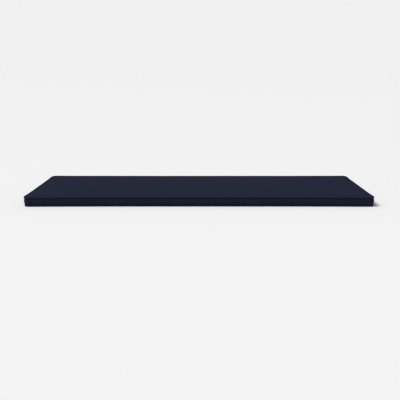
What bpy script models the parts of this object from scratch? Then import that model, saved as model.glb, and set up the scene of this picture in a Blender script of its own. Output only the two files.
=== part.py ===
"""A long boxed bench cushion in plain navy cloth, with piping in its two edge seams.

The cushion lies flat on its bottom panel. The origin is the middle of that panel, +X runs along
the cushion, -Y is its front and +Z is up. All sizes are in metres.
"""

import math

import bmesh
import bpy
from mathutils import Matrix, Vector

# Driving dimensions
LENGTH = 1.640
DEPTH = 0.450
EDGE_HEIGHT = 0.045
PIPING_RADIUS = 0.00275
CORNER_RADIUS = 0.022
FIT_GAP = 0.0003

# Shape of the filled form
SHOULDER_RISE = 0.0080
SHOULDER_REACH = 0.110
SHOULDER_POWER = 2.2
DOME_RISE = 0.0028
LONG_SIDE_DRAWN_IN = 0.0045
END_DRAWN_IN = 0.0030
DRAWN_IN_POWER = 4
BOXING_BULGE = 0.0020
UNDERSIDE_LIFT_REACH = 0.022
PIPING_OFF_SURFACE = 0.0010

# Seam lines: each runs along the middle of its piping
SEAM_X = LENGTH / 2 - PIPING_RADIUS
SEAM_Y = DEPTH / 2 - PIPING_RADIUS
TOP_SEAM = EDGE_HEIGHT - PIPING_RADIUS
BOTTOM_SEAM = PIPING_RADIUS + PIPING_OFF_SURFACE

# Half sides of the flat foot, the part of the bottom panel that rests on the surface
FOOT_X = SEAM_X - UNDERSIDE_LIFT_REACH
FOOT_Y = SEAM_Y - UNDERSIDE_LIFT_REACH

# Where the cage of the body is cut, measured inwards from its seams
EDGE_CUTS = (0.011, 0.022, 0.050, 0.100, 0.160)
MIDDLE_CELLS_X = 12
MIDDLE_CELLS_Y = 2
BOXING_ROWS = 3
CUT_TOLERANCE = 1e-6

# Steps along one seam line
LONG_SIDE_STEPS = 14
END_STEPS = 6
CORNER_STEPS = 6
QUARTER_TURN = math.pi / 2
PIPING_SIDES_RESOLUTION = 2
GROOVE_SIDES_RESOLUTION = 4

NAVY = (0.0200, 0.0240, 0.0470, 1.0)
NAVY_PIPING = (0.0175, 0.0210, 0.0415, 1.0)
CLOTH_ROUGHNESS = 0.85


def clear_scene():
    for thing in list(bpy.data.objects):
        bpy.data.objects.remove(thing, do_unlink=True)


def new_collection(name):
    collection = bpy.data.collections.new(name)
    bpy.context.scene.collection.children.link(collection)
    return collection


def cloth(name, colour):
    material = bpy.data.materials.new(name)
    material.use_nodes = True
    shader = material.node_tree.nodes["Principled BSDF"]
    shader.inputs["Base Color"].default_value = colour
    shader.inputs["Roughness"].default_value = CLOTH_ROUGHNESS
    shader.inputs["Metallic"].default_value = 0.0
    material.diffuse_color = colour
    return material


def slack(place, corner):
    """How far a side gives way: 1 in its middle, 0 from where its corner begins."""
    return 1 - min(abs(place) / corner, 1) ** DRAWN_IN_POWER


def drawn_in(x, y):
    """The plan place of a point once the filling has pulled the sides in between the corners."""
    along_x = slack(x, SEAM_X - CORNER_RADIUS)
    along_y = slack(y, SEAM_Y - CORNER_RADIUS)
    return (
        x * (1 - END_DRAWN_IN / SEAM_X * along_y),
        y * (1 - LONG_SIDE_DRAWN_IN / SEAM_Y * along_x),
    )


def corner_centre(x, y):
    """The nearest point of the rectangle that the corner arcs are centred on."""
    inner_x = SEAM_X - CORNER_RADIUS
    inner_y = SEAM_Y - CORNER_RADIUS
    return Vector((max(-inner_x, min(inner_x, x)), max(-inner_y, min(inner_y, y))))


def rounded(x, y):
    """Moves a point of a square corner on to the round one: squares turn into quarter circles."""
    centre = corner_centre(x, y)
    offset = Vector((x, y)) - centre
    if offset.length == 0:
        return Vector((x, y))
    reach = max(abs(offset.x), abs(offset.y))
    return centre + offset.normalized() * reach


def outward(x, y):
    """The direction in plan that faces away from the cushion."""
    offset = Vector((x, y)) - corner_centre(x, y)
    return offset.normalized() if offset.length else offset


def shoulder(inset):
    """0 at a seam, rising to 1 where the panel levels out."""
    left = 1 - min(inset / SHOULDER_REACH, 1)
    return 1 - left**SHOULDER_POWER


def top_height(x, y):
    """The crown of the top panel: a soft shoulder inside the seam and a shallow dome."""
    rise = SHOULDER_RISE * shoulder(SEAM_X - abs(x)) * shoulder(SEAM_Y - abs(y))
    dome = DOME_RISE * (1 - (x / SEAM_X) ** 2) * (1 - (y / SEAM_Y) ** 2)
    return TOP_SEAM + rise + dome


def underside_height(x, y):
    """The bottom panel: flat where it rests, lifted a little towards its seam."""
    inset = min(SEAM_X - abs(x), SEAM_Y - abs(y))
    left = 1 - min(inset / UNDERSIDE_LIFT_REACH, 1)
    return BOTTOM_SEAM * left**2


def filled_place(point):
    """Takes a point of the plain block, whose Z runs from 0 to 1, to its place when filled."""
    x, y, level = point
    if level > 1 - CUT_TOLERANCE:
        height = top_height(x, y)
    elif level < CUT_TOLERANCE:
        height = underside_height(x, y)
    else:
        height = BOTTOM_SEAM + (TOP_SEAM - BOTTOM_SEAM) * level
    bulge = 0.0
    if CUT_TOLERANCE < level < 1 - CUT_TOLERANCE:
        bulge = BOXING_BULGE * 4 * level * (1 - level)
    plan = rounded(x, y) + outward(x, y) * bulge
    return Vector((*drawn_in(plan.x, plan.y), height))


def cuts_across(half, middle_cells):
    """Places of the cage's cuts from -half to half: close at the seams, even in the middle."""
    near = [half - cut for cut in EDGE_CUTS]
    inner = near[-1]
    middle = [inner * (2 * i / middle_cells - 1) for i in range(1, middle_cells)]
    return sorted([-place for place in near] + middle + near)


def cut_block(block, places, axis):
    for place in places:
        normal = Vector((0, 0, 0))
        normal[axis] = 1
        bmesh.ops.bisect_plane(
            block,
            geom=[*block.verts, *block.edges, *block.faces],
            dist=CUT_TOLERANCE,
            plane_co=normal * place,
            plane_no=normal,
        )


def crease_seams(block):
    """Marks the edges that run along the two seams, so that they stay sharp when smoothed."""
    crease = block.edges.layers.float.new("crease_edge")
    for edge in block.edges:
        sides = {round(abs(face.normal.z)) for face in edge.link_faces}
        if len(sides) == 2:
            edge[crease] = 1.0


def foot_sides(point):
    """How many sides of the foot a point of the plain block is on: 1 along a side, 2 at a corner."""
    if point.z > CUT_TOLERANCE:
        return 0
    beyond_x = abs(point.x) - FOOT_X
    beyond_y = abs(point.y) - FOOT_Y
    on_end = abs(beyond_x) < CUT_TOLERANCE and beyond_y < CUT_TOLERANCE
    on_long_side = abs(beyond_y) < CUT_TOLERANCE and beyond_x < CUT_TOLERANCE
    return on_end + on_long_side


def crease_foot(block):
    """Marks the rim of the foot, so that smoothing leaves a true flat with four corners."""
    edge_crease = block.edges.layers.float["crease_edge"]
    for edge in block.edges:
        start, end = (vertex.co for vertex in edge.verts)
        if all(foot_sides(point) for point in (start, end, (start + end) / 2)):
            edge[edge_crease] = 1.0
    corner_crease = block.verts.layers.float.new("crease_vert")
    for vertex in block.verts:
        if foot_sides(vertex.co) == 2:
            vertex[corner_crease] = 1.0


def cushion_body(collection):
    """The filled form: a block cut into a cage, shaped, and smoothed by subdivision."""
    block = bmesh.new()
    to_size = Matrix.Diagonal((2 * SEAM_X, 2 * SEAM_Y, 1.0, 1.0))
    on_its_base = Matrix.Translation((0, 0, 0.5))
    bmesh.ops.create_cube(block, size=1.0, matrix=on_its_base @ to_size)
    cut_block(block, cuts_across(SEAM_X, MIDDLE_CELLS_X), 0)
    cut_block(block, cuts_across(SEAM_Y, MIDDLE_CELLS_Y), 1)
    cut_block(block, [row / BOXING_ROWS for row in range(1, BOXING_ROWS)], 2)
    block.normal_update()
    crease_seams(block)
    crease_foot(block)
    for vertex in block.verts:
        vertex.co = filled_place(vertex.co)
    mesh = bpy.data.meshes.new("cushion_body")
    block.to_mesh(mesh)
    block.free()
    mesh.shade_smooth()
    mesh.materials.append(cloth("navy cloth", NAVY))
    body = bpy.data.objects.new("cushion_body", mesh)
    collection.objects.link(body)
    smooth = body.modifiers.new("Filled form", "SUBSURF")
    smooth.levels = 1
    smooth.render_levels = 1
    return body


def seam_line():
    """Plan points of one seam, once round: four corner arcs and the four sides, drawn in."""
    inner_x = SEAM_X - CORNER_RADIUS
    inner_y = SEAM_Y - CORNER_RADIUS
    centres = [Vector((sx * inner_x, sy * inner_y)) for sx, sy in ((1, 1), (-1, 1), (-1, -1), (1, -1))]
    points = []
    for index, centre in enumerate(centres):
        for step in range(CORNER_STEPS):
            angle = QUARTER_TURN * (index + step / CORNER_STEPS)
            points.append(centre + CORNER_RADIUS * Vector((math.cos(angle), math.sin(angle))))
        facing = QUARTER_TURN * (index + 1)
        out = CORNER_RADIUS * Vector((math.cos(facing), math.sin(facing)))
        start = centre + out
        end = centres[(index + 1) % len(centres)] + out
        steps = LONG_SIDE_STEPS if index % 2 == 0 else END_STEPS
        points += [start.lerp(end, step / steps) for step in range(steps)]
    return [drawn_in(*point) for point in points]


def ring(name, collection, height, radius, resolution):
    """A closed tube along the seam line at one height."""
    curve = bpy.data.curves.new(name, "CURVE")
    curve.dimensions = "3D"
    curve.bevel_depth = radius
    curve.bevel_resolution = resolution
    spline = curve.splines.new("POLY")
    points = seam_line()
    spline.points.add(len(points) - 1)
    for place, (x, y) in zip(spline.points, points):
        place.co = (x, y, height, 1.0)
    spline.use_cyclic_u = True
    tube = bpy.data.objects.new(name, curve)
    collection.objects.link(tube)
    return tube


def piping(name, collection, height):
    """The covered cord in one seam."""
    cord = ring(name, collection, height, PIPING_RADIUS, PIPING_SIDES_RESOLUTION)
    cord.data.materials.append(cloth(name + " cloth", NAVY_PIPING))
    return cord


def cut_groove(body, collection, name, height):
    """Cuts the seam groove that the piping lies in, a little wider than the piping."""
    tube = ring(name, collection, height, PIPING_RADIUS + FIT_GAP, GROOVE_SIDES_RESOLUTION)
    bpy.context.view_layer.update()
    seen = tube.evaluated_get(bpy.context.evaluated_depsgraph_get())
    mesh = bpy.data.meshes.new_from_object(seen)
    cutter = bpy.data.objects.new(name + "_cutter", mesh)
    cutter.matrix_world = tube.matrix_world
    collection.objects.link(cutter)
    cutter.hide_render = True
    cutter.display_type = "WIRE"
    bpy.data.objects.remove(tube, do_unlink=True)
    groove = body.modifiers.new(name, "BOOLEAN")
    groove.operation = "DIFFERENCE"
    groove.solver = "EXACT"
    groove.object = cutter


def main():
    clear_scene()
    parts = new_collection("bench cushion")
    cutters = new_collection("cutters")
    body = cushion_body(parts)
    cut_groove(body, cutters, "top_groove", TOP_SEAM)
    cut_groove(body, cutters, "bottom_groove", BOTTOM_SEAM)
    piping("top_piping", parts, TOP_SEAM)
    piping("bottom_piping", parts, BOTTOM_SEAM)


main()
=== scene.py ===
# %% [markdown]
# A long boxed cushion
#
# The cushion is one long pad: a top panel, a bottom panel and a boxing strip, sewn over a filling, with
# a covered cord in each edge seam. It could be modelled as a rounded box, but then no edge would look
# sewn. Here each piece is made the way it is sewn, round the solids of the frame, so the main sizes
# come from there.

# %% Load the frame
import math

import bpy
import numpy as np
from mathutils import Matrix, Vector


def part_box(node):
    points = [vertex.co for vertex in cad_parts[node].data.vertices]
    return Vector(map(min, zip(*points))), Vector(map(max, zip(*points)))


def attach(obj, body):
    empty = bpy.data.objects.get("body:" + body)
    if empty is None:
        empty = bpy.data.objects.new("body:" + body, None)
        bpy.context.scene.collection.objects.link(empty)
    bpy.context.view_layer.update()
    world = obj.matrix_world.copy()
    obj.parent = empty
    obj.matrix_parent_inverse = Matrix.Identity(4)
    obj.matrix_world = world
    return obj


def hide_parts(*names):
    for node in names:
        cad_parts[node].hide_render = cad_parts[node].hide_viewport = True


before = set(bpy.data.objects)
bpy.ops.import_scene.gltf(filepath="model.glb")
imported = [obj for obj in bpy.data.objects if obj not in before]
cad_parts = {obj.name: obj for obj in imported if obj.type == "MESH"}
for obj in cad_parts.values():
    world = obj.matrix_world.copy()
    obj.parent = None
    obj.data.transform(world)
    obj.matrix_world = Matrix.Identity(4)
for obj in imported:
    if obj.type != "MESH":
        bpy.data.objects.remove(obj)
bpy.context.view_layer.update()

# %% [markdown]
# Sizes
#
# The piping is the outermost thing all round, so its box gives the cushion's length and depth, and its
# own height gives the cord's thickness. The seam runs along the middle of the cord. Only the corner
# radius and the small amounts that the sides are drawn in can't be read from a box, so they are
# written out. Every draw of chance starts from one seed, so each run makes the same cushion.

# %% Sizes from the frame
top_low, top_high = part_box("top_piping")
bottom_low, bottom_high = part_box("bottom_piping")
body_low, body_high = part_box("cushion_body")

LENGTH = top_high.x - top_low.x
DEPTH = top_high.y - top_low.y
EDGE_HEIGHT = top_high.z
CORD_RADIUS = (top_high.z - top_low.z) / 2
TOP_SEAM = (top_high.z + top_low.z) / 2
BOTTOM_SEAM = (bottom_high.z + bottom_low.z) / 2
CROWN_TOP = body_high.z
SEAM_X = LENGTH / 2 - CORD_RADIUS
SEAM_Y = DEPTH / 2 - CORD_RADIUS

CORNER_RADIUS = 0.022
LONG_SIDE_DRAWN_IN = 0.0045
END_DRAWN_IN = 0.0030
DRAWN_IN_POWER = 4
SEED = 11
MM = 1000
TINY = 1e-9
print(f"cushion {LENGTH:.3f} x {DEPTH:.3f} m")
print(f"edge {EDGE_HEIGHT * MM:.1f} mm high, crown {CROWN_TOP * MM:.1f} mm")

# %% [markdown]
# Camera
#
# The picture is taken from in front, above the middle of the cushion, at the distance that makes its two
# ends run in as they do in the photograph. The numbers are real: how far the lens is in front of the
# front edge, how high above it, and how far it looks down.

# %% Camera
CAMERA_DISTANCE = 1.984
CAMERA_ABOVE_EDGE = 0.564
CAMERA_LOOKS_DOWN = math.radians(16.18)
CAMERA_OFF_CENTRE = 0.0047
LENS_MM = 40.13
SENSOR_MM = 36.0

camera = bpy.data.objects.new("camera", bpy.data.cameras.new("camera"))
bpy.context.scene.collection.objects.link(camera)
camera.location = (CAMERA_OFF_CENTRE, -DEPTH / 2 - CAMERA_DISTANCE, EDGE_HEIGHT + CAMERA_ABOVE_EDGE)
camera.rotation_euler = (math.pi / 2 - CAMERA_LOOKS_DOWN, 0, 0)
camera.data.lens = LENS_MM
camera.data.sensor_width = SENSOR_MM
bpy.context.scene.camera = camera
print("camera at", tuple(round(value, 3) for value in camera.location))

# %% [markdown]
# Arithmetic in node trees
#
# A pattern such as a weave is a formula. Nodes can hold one, but a page of Math nodes is hard to read.
# A small class wraps a socket, so that an ordinary expression adds the nodes. The same class serves
# the shader trees and the geometry tree of the piping.

# %% A socket that takes part in expressions
class Wire:
    """An output socket of a node tree, used in Python expressions."""

    def __init__(self, tree, socket):
        self.tree = tree
        self.socket = socket

    def math(self, operation, *others):
        inputs = dict(enumerate((self, *others)))
        return self.tree.node("ShaderNodeMath", {"operation": operation}, inputs)

    def __add__(self, other):
        return self.math("ADD", other)

    __radd__ = __add__

    def __mul__(self, other):
        return self.math("MULTIPLY", other)

    __rmul__ = __mul__

    def __sub__(self, other):
        return self.math("SUBTRACT", other)

    def __rsub__(self, other):
        return self.math("MULTIPLY", -1.0).math("ADD", other)

    def __truediv__(self, other):
        return self.math("DIVIDE", other)


class Tree:
    """Adds nodes to one tree. Settings are set before sockets, because some change the sockets."""

    def __init__(self, tree):
        self.tree = tree

    def node(self, kind, settings=None, inputs=None, output=0):
        made = self.tree.nodes.new(kind)
        for name, value in (settings or {}).items():
            setattr(made, name, value)
        for name, value in (inputs or {}).items():
            if isinstance(value, Wire):
                self.tree.links.new(value.socket, made.inputs[name])
            else:
                made.inputs[name].default_value = value
        return Wire(self, made.outputs[output])


print("node helpers ready")

# %% [markdown]
# The cloth
#
# The cover is a plain woven outdoor cloth, dyed through, in a navy so dark that it nearly loses its
# weave from a few steps away. Up close a plain weave is a chequer of small humps, each a thread on its
# way over another. One formula gives the height of the threads. It drives the bump, the change in
# roughness, and a painted shade that darkens the pits between threads. Threads also differ: one takes
# the dye a little better than the next, and that difference runs along the whole thread.

# %% Woven navy cloth
NAVY = (0.0167, 0.0209, 0.0411)
# Painted shade: the piping's copy of the same navy cloth is a tenth darker.
NAVY_SHADED_PIPING = (0.0150, 0.0187, 0.0368)
THREAD_PITCH = 0.0009
THREAD_BUMP_M = 0.00012
BUMP_STRENGTH = 0.55
LOWEST_HUMP = 0.55
# Painted shade: how much darker the pits between threads are painted.
PIT_PAINTED_SHADE = 0.30
THREAD_SHADE = 0.16
THREAD_APART = 0.73
THREAD_DRIFT = 0.02
WEFT_APART = 311.0
BROAD_SHADE = 0.07
BROAD_PATCHES = 5.0
PIT_ROUGHNESS = 0.93
HUMP_SMOOTHER = 0.10
SHINE = 0.02
SHEEN = 0.002
SHEEN_ROUGHNESS = 0.5
SHEEN_TINT = (0.55, 0.62, 0.95, 1.0)


def thread_shade(tree, across, along):
    """How dark each thread is: one value a thread, drifting slowly along it."""
    thread = across.math("FLOOR")
    place = tree.node("ShaderNodeCombineXYZ", None, {
        "X": thread * THREAD_APART, "Y": along * THREAD_DRIFT})
    return tree.node("ShaderNodeTexNoise", {"noise_dimensions": "2D"}, {
        "Vector": place, "Scale": 1.0, "Detail": 1.0, "Roughness": 0.5})


def woven_cloth(name, colour, turn=0.0):
    """A Principled material whose weave follows the piece's own map, turned by an angle."""
    material = bpy.data.materials.new(name)
    material.use_nodes = True
    nodes = material.node_tree
    shader = nodes.nodes["Principled BSDF"]
    tree = Tree(nodes)
    flat = tree.node("ShaderNodeUVMap", {"uv_map": "cloth"})
    placed = tree.node("ShaderNodeMapping", {"vector_type": "POINT"}, {
        "Vector": flat, "Rotation": (0.0, 0.0, turn),
        "Scale": (1 / THREAD_PITCH, 1 / THREAD_PITCH, 1.0)})
    across = tree.node("ShaderNodeSeparateXYZ", None, {"Vector": placed})
    along = Wire(tree, across.socket.node.outputs["Y"])
    hump_across = (across.math("FRACT") * math.pi).math("SINE")
    hump_along = (along.math("FRACT") * math.pi).math("SINE")
    over = (across.math("FLOOR") + along.math("FLOOR")).math("MODULO", 2.0).math("ABSOLUTE")
    warp = hump_across * (LOWEST_HUMP + (1 - LOWEST_HUMP) * hump_along)
    weft = hump_along * (LOWEST_HUMP + (1 - LOWEST_HUMP) * hump_across)
    height = warp * (1 - over) + weft * over
    warp_shade = thread_shade(tree, across, along)
    weft_shade = thread_shade(tree, along + WEFT_APART, across)
    threads = warp_shade * (1 - over) + weft_shade * over
    spot = tree.node("ShaderNodeTexCoord", output="Object")
    broad = tree.node("ShaderNodeTexNoise", {"noise_dimensions": "3D"}, {
        "Vector": spot, "Scale": BROAD_PATCHES, "Detail": 3.0, "Roughness": 0.55})
    # Painted shade: the pits between threads are painted darker; the thread and broad terms after it are
    # the dye's own tone.
    shade = (1 - PIT_PAINTED_SHADE) + PIT_PAINTED_SHADE * height
    shade = shade * (1 - THREAD_SHADE + 2 * THREAD_SHADE * threads)
    shade = shade * (1 - BROAD_SHADE + 2 * BROAD_SHADE * broad)
    tint = tree.node("ShaderNodeVectorMath", {"operation": "SCALE"}, {0: colour, "Scale": shade})
    nodes.links.new(tint.socket, shader.inputs["Base Color"])
    rough = PIT_ROUGHNESS - HUMP_SMOOTHER * height
    nodes.links.new(rough.socket, shader.inputs["Roughness"])
    bump = tree.node("ShaderNodeBump", None, {
        "Strength": BUMP_STRENGTH, "Distance": THREAD_BUMP_M, "Height": height})
    nodes.links.new(bump.socket, shader.inputs["Normal"])
    shader.inputs["Specular IOR Level"].default_value = SHINE
    shader.inputs["Sheen Weight"].default_value = SHEEN
    shader.inputs["Sheen Roughness"].default_value = SHEEN_ROUGHNESS
    shader.inputs["Sheen Tint"].default_value = SHEEN_TINT
    material.diffuse_color = (*colour, 1.0)
    return material


navy_cloth = woven_cloth("navy_cloth", NAVY)
# The piping's cloth: its weave turned 45 degrees, and its colour painted darker as shade.
shaded_navy_bias = woven_cloth("shaded_navy_bias_cloth", NAVY_SHADED_PIPING, math.radians(45))
print("materials", navy_cloth.name, shaded_navy_bias.name)

# %% [markdown]
# The seam line in plan
#
# Both seams follow one outline: a rectangle with round corners whose sides are drawn in a few
# millimetres between the corners, because the filling pushes the panels up and pulls the edges in. A
# seam sewn by hand and eye also wanders by a fraction of a millimetre, and without that the edge looks
# like moulded plastic.

# %% Outline
GAP = 0.0003
REACH = CORD_RADIUS + GAP
WANDER_M = 0.00045
WANDER_WAVES_M = (0.71, 0.37, 0.23, 0.131)
SEEDS_PER_SEAM = 7


def slack(place, corner):
    """1 in the middle of a side, 0 from where its corner begins."""
    return 1 - np.minimum(np.abs(place) / corner, 1) ** DRAWN_IN_POWER


def drawn_in(x, y):
    """Plan places once the sides have been pulled in."""
    along_x = slack(x, SEAM_X - CORNER_RADIUS)
    along_y = slack(y, SEAM_Y - CORNER_RADIUS)
    return (
        x * (1 - END_DRAWN_IN / SEAM_X * along_y),
        y * (1 - LONG_SIDE_DRAWN_IN / SEAM_Y * along_x),
    )


def core_and_facing(x, y):
    """For each plan point, the nearest point inside the corner arcs' centres, and the way out."""
    core = np.stack([
        np.clip(x, CORNER_RADIUS - SEAM_X, SEAM_X - CORNER_RADIUS),
        np.clip(y, CORNER_RADIUS - SEAM_Y, SEAM_Y - CORNER_RADIUS),
    ], axis=-1)
    offset = np.stack([x, y], axis=-1) - core
    size = np.linalg.norm(offset, axis=-1, keepdims=True)
    return core, offset, offset / np.maximum(size, TINY)


def wander(along, seed):
    """A slow, small wave along a seam, the same at both ends so that the ring closes."""
    draw = np.random.default_rng(seed)
    total = along[-1]
    wave = np.zeros_like(along)
    for length in WANDER_WAVES_M:
        turns = round(total / length)
        wave += np.sin(2 * np.pi * (turns * along / total + draw.random())) * draw.uniform(0.5, 1)
    return wave * WANDER_M / len(WANDER_WAVES_M)


print(f"seam rectangle {2 * SEAM_X:.3f} x {2 * SEAM_Y:.3f} m")

# %% [markdown]
# The cover as a net of cells
#
# The cover could be a voxel remesh of its solid, but a remesh rounds off the two seams, which are the
# crispest lines of the cushion. Instead the cover is laid out as a net: a grid for each panel and rows
# of cells round the edge for the boxing. Near a seam the cells get small, because that is where cloth
# turns sharply. The seams themselves are half-round troughs, one for each cord. Between them the boxing
# stands out by a few millimetres, as a strip with filling behind it does.

# %% Spacing of the net
CELL = 0.0105
FIRST_CELL = 0.0034
CELL_GROWTH = 1.28
BOXING_CELLS = 7
TROUGH_ANGLES_DEG = (168, 198, 228, 258)


def spaced(half):
    """Places from -half to half: small steps at both ends, even steps between."""
    insets = [0.0]
    step = FIRST_CELL
    while step < CELL:
        insets.append(insets[-1] + step)
        step *= CELL_GROWTH
    inner = half - insets[-1]
    middle = np.linspace(-inner, inner, max(2, round(2 * inner / CELL)) + 1)
    near = np.array([half - inset for inset in insets[:-1]])
    return np.concatenate([-near, middle, near[::-1]])


grid_x = spaced(SEAM_X - REACH)
grid_y = spaced(SEAM_Y - REACH)
print(f"panels of {len(grid_x) - 1} x {len(grid_y) - 1} cells")

# %% Heights of the two panels
SIM_CAP = 0.0040
DOME_RISE = 0.0028
SHOULDER_RISE = CROWN_TOP - TOP_SEAM - DOME_RISE - SIM_CAP
SHOULDER_REACH = 0.110
SHOULDER_POWER = 2.2
UNDERSIDE_LIFT_REACH = 0.022


def shoulder(inset):
    """0 at a seam, rising to 1 where the panel levels out."""
    left = 1 - np.clip(inset / SHOULDER_REACH, 0, 1)
    return 1 - left**SHOULDER_POWER


def top_height(x, y):
    """The top panel before the air goes in, a little lower than it will be."""
    rise = SHOULDER_RISE * shoulder(SEAM_X - np.abs(x)) * shoulder(SEAM_Y - np.abs(y))
    dome = DOME_RISE * (1 - (x / SEAM_X) ** 2) * (1 - (y / SEAM_Y) ** 2)
    return TOP_SEAM + rise + dome


def underside_height(x, y):
    """The bottom panel: flat where it rests and lifted towards its seam."""
    inset = np.minimum(SEAM_X - np.abs(x), SEAM_Y - np.abs(y))
    left = 1 - np.clip(inset / UNDERSIDE_LIFT_REACH, 0, 1)
    return BOTTOM_SEAM * left**2


print(f"start crown {(SHOULDER_RISE + DOME_RISE) * MM:.1f} mm above the seam")

# %% The rim of a panel, once round
def rim_order(columns, rows):
    """Grid positions of the rim, anticlockwise from the front left corner, without a repeat."""
    front = [(i, 0) for i in range(columns - 1)]
    right = [(columns - 1, j) for j in range(rows - 1)]
    back = [(i, rows - 1) for i in range(columns - 1, 0, -1)]
    left = [(0, j) for j in range(rows - 1, 0, -1)]
    return np.array(front + right + back + left)


rim = rim_order(len(grid_x), len(grid_y))
rim_core, _, rim_facing = core_and_facing(grid_x[rim[:, 0]], grid_y[rim[:, 1]])
seam_plan = rim_core + rim_facing * CORNER_RADIUS
steps = np.linalg.norm(np.roll(seam_plan, -1, axis=0) - seam_plan, axis=1)
rim_along = np.concatenate([[0], np.cumsum(steps)])
wanders = {
    side: [wander(rim_along, SEED + SEEDS_PER_SEAM * side + k)[:-1] for k in range(2)]
    for side in (0, 1)
}
print(f"each seam is {rim_along[-1]:.3f} m long, in {len(rim)} steps")


def around(offset, height, side):
    """A ring of points beside a seam: outward by offset, raised by height, wandering with the seam."""
    sideways, upward = wanders[side]
    plan = rim_core + rim_facing * (CORNER_RADIUS + offset + sideways)[:, None]
    x, y = drawn_in(plan[:, 0], plan[:, 1])
    return np.stack([x, y, height + upward], axis=-1)


# %% The net of the cover
BOXING_BULGE = 0.0036


def panel_points(height, side):
    """A panel's grid of points: round corners, drawn-in sides, and its own height."""
    x, y = np.meshgrid(grid_x, grid_y, indexing="ij")
    core, offset, facing = core_and_facing(x, y)
    reach = np.abs(offset).max(axis=-1, keepdims=True)
    plan = core + facing * reach
    plan_x, plan_y = drawn_in(plan[..., 0], plan[..., 1])
    points = np.stack([plan_x, plan_y, height(x, y)], axis=-1)
    angle = math.radians(TROUGH_ANGLES_DEG[0])
    rise = REACH * math.sin(angle) * (1 if side else -1)
    seam = TOP_SEAM if side else BOTTOM_SEAM
    points[rim[:, 0], rim[:, 1]] = around(REACH * math.cos(angle), seam + rise, side)
    return points


def side_rings():
    """Rings from the top panel's rim down to the bottom panel's: trough, boxing, trough."""
    rings = []
    for degrees in TROUGH_ANGLES_DEG[1:]:
        angle = math.radians(degrees)
        rings.append(around(REACH * math.cos(angle), TOP_SEAM + REACH * math.sin(angle), 1))
    upper = rings[-1]
    low_angle = math.radians(TROUGH_ANGLES_DEG[-1])
    lower = around(REACH * math.cos(low_angle), BOTTOM_SEAM - REACH * math.sin(low_angle), 0)
    for row in range(1, BOXING_CELLS):
        share = row / BOXING_CELLS
        ring = upper * (1 - share) + lower * share
        ring[:, :2] += rim_facing * BOXING_BULGE * 4 * share * (1 - share)
        rings.append(ring)
    for degrees in reversed(TROUGH_ANGLES_DEG[1:]):
        angle = math.radians(degrees)
        rings.append(around(REACH * math.cos(angle), BOTTOM_SEAM - REACH * math.sin(angle), 0))
    return rings


top_points = panel_points(top_height, 1)
bottom_points = panel_points(underside_height, 0)
rings = side_rings()
print(f"{len(rings)} rings between the panels")

# %% Joining the net into one closed mesh
def grid_faces(numbers, upward):
    """The cells of a panel, facing up or down."""
    a, b, c, d = numbers[:-1, :-1], numbers[1:, :-1], numbers[1:, 1:], numbers[:-1, 1:]
    faces = np.stack([a, b, c, d] if upward else [d, c, b, a], axis=-1)
    return faces.reshape(-1, 4)


def strip_faces(upper, lower):
    """The cells between two rings, facing outward."""
    return np.stack([upper, lower, np.roll(lower, -1), np.roll(upper, -1)], axis=-1)


def cover_mesh():
    """One closed mesh, its map in metres, and the numbers of the vertices that are sewn down."""
    columns, rows = len(grid_x), len(grid_y)
    panel = columns * rows
    top_numbers = np.arange(panel).reshape(columns, rows)
    bottom_numbers = top_numbers + panel
    points = [top_points.reshape(-1, 3), bottom_points.reshape(-1, 3), *rings]
    ring_numbers = [top_numbers[rim[:, 0], rim[:, 1]]]
    for k in range(len(rings)):
        ring_numbers.append(2 * panel + k * len(rim) + np.arange(len(rim)))
    ring_numbers.append(bottom_numbers[rim[:, 0], rim[:, 1]])
    points = np.concatenate(points)
    strips = [strip_faces(a, b) for a, b in zip(ring_numbers, ring_numbers[1:])]
    faces = [grid_faces(top_numbers, True), grid_faces(bottom_numbers, False), *strips]

    ring_points = np.stack([points[numbers] for numbers in ring_numbers])
    drops = np.linalg.norm(np.diff(ring_points, axis=0), axis=-1).mean(axis=1)
    down = np.concatenate([[0], np.cumsum(drops)])
    flat = [points[faces[0]][..., :2], points[faces[1]][..., :2] * (1, -1)]
    for k in range(len(strips)):
        left, right = rim_along[:-1], rim_along[1:]
        upper, lower = np.full(len(rim), -down[k]), np.full(len(rim), -down[k + 1])
        corners = [(left, upper), (left, lower), (right, lower), (right, upper)]
        flat.append(np.stack([np.stack(corner, axis=-1) for corner in corners], axis=1))

    mesh = bpy.data.meshes.new("cushion_cover")
    mesh.from_pydata(points.tolist(), [], np.concatenate(faces).tolist())
    cloth_map = mesh.uv_layers.new(name="cloth")
    cloth_map.uv.foreach_set("vector", np.concatenate([f.reshape(-1) for f in flat]).astype(np.float32))
    sewn_rings = [*ring_numbers[:len(TROUGH_ANGLES_DEG)], *ring_numbers[-len(TROUGH_ANGLES_DEG):]]
    return mesh, np.unique(np.concatenate(sewn_rings))


mesh, sewn = cover_mesh()
cover = bpy.data.objects.new("cushion_cover", mesh)
bpy.context.scene.collection.objects.link(cover)
print(f"net of {len(mesh.vertices)} points and {len(mesh.polygons)} cells, {len(sewn)} points sewn")

# %% [markdown]
# Filling it
#
# Filling pushes every panel outward while the seams hold it, and the spare cloth gathers where it can.
# Drawing that by hand seldom looks right, so Blender's cloth does it: the sewn points are pinned,
# pressure pushes from inside, gravity is off, and the cloth is cut a touch too large. A balloon is no
# cushion, though, and foam stops the panels early, so no point may go farther than a few millimetres.
# The bottom panel can't sink into what it lies on, so its points stop there, and that makes it flat.

# %% Filling by simulation
SIM_FRAMES = 20
SIM_STEPS = 6
PRESSURE = 4.0
SPARE_CLOTH = 0.002
POINT_MASS = 0.25
AIR_DRAG = 2
STRETCH_STIFFNESS = 25
SHEAR_STIFFNESS = 10
BENDING_STIFFNESS = 1.5


def positions(mesh):
    """The places of a mesh's vertices, as an array."""
    values = np.empty(len(mesh.vertices) * 3, np.float32)
    mesh.vertices.foreach_get("co", values)
    return values.reshape(-1, 3).astype(float)


def set_positions(mesh, values):
    """Moves a mesh's vertices to new places."""
    mesh.vertices.foreach_set("co", values.astype(np.float32).ravel())
    mesh.update()


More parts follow.
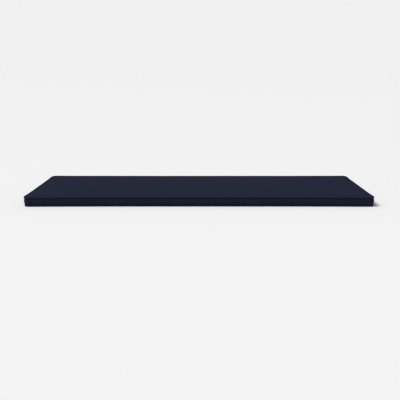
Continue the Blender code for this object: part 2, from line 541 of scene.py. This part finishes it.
def filled(cover, sewn):
    """Where the cloth solver takes each point of the cover."""
    pins = cover.vertex_groups.new(name="sewn")
    pins.add([int(number) for number in sewn], 1.0, "REPLACE")
    cloth = cover.modifiers.new("Filling", "CLOTH")
    cloth.settings.quality = SIM_STEPS
    cloth.settings.mass = POINT_MASS
    cloth.settings.tension_stiffness = STRETCH_STIFFNESS
    cloth.settings.compression_stiffness = STRETCH_STIFFNESS
    cloth.settings.shear_stiffness = SHEAR_STIFFNESS
    cloth.settings.bending_stiffness = BENDING_STIFFNESS
    cloth.settings.air_damping = AIR_DRAG
    cloth.settings.use_pressure = True
    cloth.settings.uniform_pressure_force = PRESSURE
    cloth.settings.vertex_group_mass = "sewn"
    cloth.settings.shrink_min = -SPARE_CLOTH
    cloth.settings.effector_weights.gravity = 0
    cloth.collision_settings.use_collision = False
    for number in range(1, SIM_FRAMES + 1):
        bpy.context.scene.frame_set(number)
    seen = cover.evaluated_get(bpy.context.evaluated_depsgraph_get())
    result = positions(seen.to_mesh())
    seen.to_mesh_clear()
    cover.modifiers.remove(cloth)
    cover.vertex_groups.remove(pins)
    bpy.context.scene.frame_set(1)
    return result


start = positions(mesh)
moved = filled(cover, sewn) - start
size = np.linalg.norm(moved, axis=1, keepdims=True)
moved *= SIM_CAP * np.tanh(size / SIM_CAP) / np.maximum(size, TINY)
settled = start + moved
settled[:, 2] = np.maximum(settled[:, 2], 0.0)
set_positions(mesh, settled)
print(f"air alone would move it {size.mean() * MM:.2f} mm, and {size.max() * MM:.2f} mm at most")

# %% [markdown]
# Smoothing
#
# Up close the cells of the net would show as flat facets. One level of Subdivision Surface rounds them
# off. The solver could work on a finer net from the start, but that takes many times longer. The result
# is kept as a plain mesh, because the puckers that come next need its finer points.

# %% Smoothing the net
def baked_subdivision(piece, levels):
    """Subdivides a piece and keeps the result as its plain mesh."""
    smooth = piece.modifiers.new("Smooth", "SUBSURF")
    smooth.levels = levels
    smooth.render_levels = levels
    seen = piece.evaluated_get(bpy.context.evaluated_depsgraph_get())
    fine = bpy.data.meshes.new_from_object(seen)
    piece.modifiers.remove(smooth)
    old = piece.data
    piece.data = fine
    bpy.data.meshes.remove(old)
    fine.name = piece.name
    return fine


mesh = baked_subdivision(cover, 1)
print(f"cover has {len(mesh.polygons)} faces")

# %% [markdown]
# Puckers
#
# A sewing machine draws a seam up by a percent or two, so both cloths pucker beside it in short, uneven
# ripples that die out within a few centimetres. They are too small for the net to find by itself, so a
# sum of a few waves along each side makes them, fading in from the seam and out again.

# %% Puckers along the seams
PUCKER_M = 0.00100
BOXING_PUCKER_M = 0.00065
PUCKER_INSET = 0.010
BOXING_PUCKER_INSET = 0.006
PUCKER_WAVES_M = (0.058, 0.041, 0.029, 0.021)
PUCKER_BEND = 0.35
PUCKERS_PER_BEND = 5.3
LULL_M = 0.47
LULL_DEPTH = 0.38
UPPER_SEAM_SEED = SEED + 20
LOWER_SEAM_SEED = SEED + 30


def ripples(along, seed):
    """Uneven ripples along a side, with stretches that have hardly any."""
    draw = np.random.default_rng(seed)
    wave = np.zeros_like(along)
    for length in PUCKER_WAVES_M:
        slow = along / (length * PUCKERS_PER_BEND)
        bend = PUCKER_BEND * np.sin(2 * np.pi * (slow + draw.random()))
        wave += draw.uniform(0.6, 1) * np.sin(2 * np.pi * (along / length + bend + draw.random()))
    lull = (1 - LULL_DEPTH) + LULL_DEPTH * np.sin(2 * np.pi * (along / LULL_M + draw.random()))
    return wave * lull / 2


def fading(inset, reach):
    """0 at the seam, 1 at the given reach from it, and almost nothing farther in."""
    share = np.maximum(inset, 0) / reach
    return share * np.exp(1 - share)


def puckered(points):
    """Lifts the top panel, and pushes the boxing in and out, by the same ripples of each seam."""
    x, y, z = points.T
    on_top = z > TOP_SEAM
    on_boxing = (z < TOP_SEAM) & (z > BOTTOM_SEAM)
    below = np.where(on_boxing, TOP_SEAM - CORD_RADIUS - z, 0)
    above = np.where(on_boxing, z - BOTTOM_SEAM - CORD_RADIUS, 0)
    out = points.copy()
    sides = (
        (x, SEAM_Y + y, (0, -1)), (x, SEAM_Y - y, (0, 1)),
        (y, SEAM_X + x, (-1, 0)), (y, SEAM_X - x, (1, 0)),
    )
    for number, (along, inset, facing) in enumerate(sides):
        upper = ripples(along, UPPER_SEAM_SEED + number)
        lower = ripples(along, LOWER_SEAM_SEED + number)
        out[:, 2] += np.where(on_top, PUCKER_M * upper * fading(inset - REACH, PUCKER_INSET), 0)
        push = upper * fading(below, BOXING_PUCKER_INSET) + lower * fading(above, BOXING_PUCKER_INSET)
        beside = on_boxing & (inset < CORNER_RADIUS / 2)
        for axis in range(2):
            out[:, axis] += np.where(beside, BOXING_PUCKER_M * push * facing[axis], 0)
    return out


set_positions(mesh, puckered(positions(mesh)))
mesh.shade_smooth()
mesh.materials.append(navy_cloth)
print("puckers added")

# %% [markdown]
# Piping
#
# Piping is a cord wrapped in a strip of the same cloth cut on the bias, so its threads run round it at
# 45 degrees, and the wrap shows faint slanting wrinkles. Its cloth is painted a tenth darker than the
# panels', which is painted shade. It repeats all the way along a path, which is what Geometry Nodes are
# for: a circle swept along the seam, lifted by a slanting wave.

# %% The piping as a node tree
CORD_STEP = 0.0030
CORD_SIDES = 14
WRINKLE_M = 0.00011
WRINKLE_PITCH_M = 0.0085
WRINKLE_PATCHES = 45.0


def piping_tree(material):
    """Sweeps a cord along a closed line of edges, and wrinkles it on a slant."""
    group = bpy.data.node_groups.new("Piping", "GeometryNodeTree")
    face = group.interface
    face.new_socket("Geometry", in_out="INPUT", socket_type="NodeSocketGeometry")
    for name in ("Radius", "Step", "Whole Length", "Wrinkles", "Wrinkle Height"):
        face.new_socket(name, in_out="INPUT", socket_type="NodeSocketFloat")
    face.new_socket("Geometry", in_out="OUTPUT", socket_type="NodeSocketGeometry")
    tree = Tree(group)
    given = group.nodes.new("NodeGroupInput")
    wire = {socket.name: Wire(tree, socket) for socket in given.outputs if socket.name}
    stored = {"data_type": "FLOAT", "domain": "POINT"}

    line = tree.node("GeometryNodeMeshToCurve", None, {"Mesh": wire["Geometry"]})
    line = tree.node("GeometryNodeResampleCurve", {"mode": "LENGTH"}, {
        "Curve": line, "Length": wire["Step"]})
    share = tree.node("GeometryNodeSplineParameter", output="Factor")
    line = tree.node("GeometryNodeStoreNamedAttribute", stored, {
        "Geometry": line, "Name": "along", "Value": share * wire["Whole Length"]})
    circle = tree.node("GeometryNodeCurvePrimitiveCircle", {"mode": "RADIUS"}, {
        "Resolution": CORD_SIDES, "Radius": wire["Radius"]})
    circle = tree.node("GeometryNodeStoreNamedAttribute", stored, {
        "Geometry": circle, "Name": "turn", "Value": share})
    tube = tree.node("GeometryNodeCurveToMesh", None, {"Curve": line, "Profile Curve": circle})

    along = tree.node("GeometryNodeInputNamedAttribute", {"data_type": "FLOAT"}, {"Name": "along"})
    turn = tree.node("GeometryNodeInputNamedAttribute", {"data_type": "FLOAT"}, {"Name": "turn"})
    slant = (along * wire["Wrinkles"] / wire["Whole Length"] + turn) * (2 * math.pi)
    patches = tree.node("ShaderNodeTexNoise", None, {
        "Vector": tree.node("GeometryNodeInputPosition"), "Scale": WRINKLE_PATCHES, "Detail": 2.0})
    lift = slant.math("SINE") * patches * wire["Wrinkle Height"]
    normal = tree.node("GeometryNodeInputNormal")
    offset = tree.node("ShaderNodeVectorMath", {"operation": "SCALE"}, {0: normal, "Scale": lift})
    tube = tree.node("GeometryNodeSetPosition", None, {"Geometry": tube, "Offset": offset})
    tube = tree.node("GeometryNodeSetShadeSmooth", None, {"Geometry": tube})
    tube = tree.node("GeometryNodeRealizeInstances", None, {"Geometry": tube})
    tube = tree.node("GeometryNodeSetMaterial", None, {"Geometry": tube, "Material": material})
    result = group.nodes.new("NodeGroupOutput")
    group.links.new(tube.socket, result.inputs["Geometry"])
    return group


tree = piping_tree(shaded_navy_bias)
print("piping tree of", len(tree.nodes), "nodes")


# %% Making the two rings
def piping(name, side):
    """One ring of piping along a seam, as a plain mesh with a map in metres."""
    seam = TOP_SEAM if side else BOTTOM_SEAM
    points = around(0.0, seam, side)
    count = len(points)
    path = bpy.data.meshes.new(name + "_path")
    path.from_pydata(points.tolist(), [(k, (k + 1) % count) for k in range(count)], [])
    piece = bpy.data.objects.new(name, path)
    bpy.context.scene.collection.objects.link(piece)
    modifier = piece.modifiers.new("Piping", "NODES")
    modifier.node_group = tree
    sizes = {
        "Radius": CORD_RADIUS, "Step": CORD_STEP, "Whole Length": float(rim_along[-1]),
        "Wrinkles": float(round(rim_along[-1] / WRINKLE_PITCH_M)), "Wrinkle Height": WRINKLE_M,
    }
    for item in tree.interface.items_tree:
        if item.in_out == "INPUT" and item.name in sizes:
            modifier[item.identifier] = sizes[item.name]
    seen = piece.evaluated_get(bpy.context.evaluated_depsgraph_get())
    made = bpy.data.meshes.new_from_object(seen)
    piece.modifiers.remove(modifier)
    piece.data = made
    bpy.data.meshes.remove(path)
    made.name = name
    return piece


def map_piping(mesh):
    """Lays the cord's skin flat: along the cord one way, round it the other, both in metres."""
    corners = np.empty(len(mesh.loops), np.int32)
    mesh.loops.foreach_get("vertex_index", corners)
    flat = []
    once_round = 2 * math.pi * CORD_RADIUS
    for name, period, width in (("along", rim_along[-1], 1.0), ("turn", 1.0, once_round)):
        read = np.empty(len(mesh.vertices), np.float32)
        mesh.attributes[name].data.foreach_get("value", read)
        face = read[corners].reshape(-1, 4).astype(float)
        wraps = face.max(axis=1, keepdims=True) - face > period / 2
        flat.append((face + wraps * period) * width)
        mesh.attributes.remove(mesh.attributes[name])
    cloth_map = mesh.uv_layers.new(name="cloth")
    cloth_map.uv.foreach_set("vector", np.stack(flat, axis=-1).astype(np.float32).ravel())


upper_piping = piping("upper_piping", 1)
lower_piping = piping("lower_piping", 0)
for piece in (upper_piping, lower_piping):
    map_piping(piece.data)
    print(piece.name, len(piece.data.polygons), "faces")

# %% [markdown]
# Putting the pieces in the frame
#
# Each piece stands for the solid that it follows, which is hidden, and rides on the one body.

# %% Riding and replacing
for piece, node, slot in (
    (cover, "cushion_body", "navy_cloth"),
    (upper_piping, "top_piping", "navy_piping"),
    (lower_piping, "bottom_piping", "navy_piping"),
):
    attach(piece, "root")
    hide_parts(node)
print("pieces:", [piece.name for piece in (cover, upper_piping, lower_piping)])

# %% [markdown]
# Floor and light
#
# The floor is plain and pale, and runs far enough for any view. A wide, soft light from overhead does
# what an overcast sky does: the top of the cushion is bright and its front falls off to a darker tone.
# The sky gets the colour that the floor has far away in the picture, so no horizon shows there, and
# only a faint one from low down at the ends.

# %% Floor
FLOOR_SIZE = 160.0
FLOOR_COLOUR = (0.80, 0.80, 0.80, 1.0)
FLOOR_ROUGHNESS = 0.9
FLOOR_SHINE = 0.1

bpy.ops.mesh.primitive_plane_add(size=FLOOR_SIZE)
floor = bpy.context.object
floor.name = "floor"
floor_look = bpy.data.materials.new("pale_floor")
floor_look.use_nodes = True
floor_shader = floor_look.node_tree.nodes["Principled BSDF"]
floor_shader.inputs["Base Color"].default_value = FLOOR_COLOUR
floor_shader.inputs["Roughness"].default_value = FLOOR_ROUGHNESS
floor_shader.inputs["Specular IOR Level"].default_value = FLOOR_SHINE
floor.data.materials.append(floor_look)

# %% Light
SUN_STRENGTH = 2.95
SUN_ANGLE = math.radians(30)
SUN_TILT = (math.radians(5), math.radians(-34), 0)
SKY_LIGHT = 0.35
SKY_SEEN = 0.879

sun = bpy.data.objects.new("overhead_light", bpy.data.lights.new("overhead_light", "SUN"))
bpy.context.scene.collection.objects.link(sun)
sun.data.energy = SUN_STRENGTH
sun.data.angle = SUN_ANGLE
sun.rotation_euler = SUN_TILT

world = bpy.data.worlds.new("studio")
bpy.context.scene.world = world
world.use_nodes = True
sky = Tree(world.node_tree)
background = world.node_tree.nodes["Background"]
seen_directly = sky.node("ShaderNodeLightPath", output="Is Camera Ray")
strength = SKY_LIGHT + (SKY_SEEN - SKY_LIGHT) * seen_directly
world.node_tree.links.new(strength.socket, background.inputs["Strength"])
background.inputs["Color"].default_value = (1.0, 1.0, 1.0, 1.0)
bpy.context.scene.view_settings.view_transform = "Standard"
print("lit")
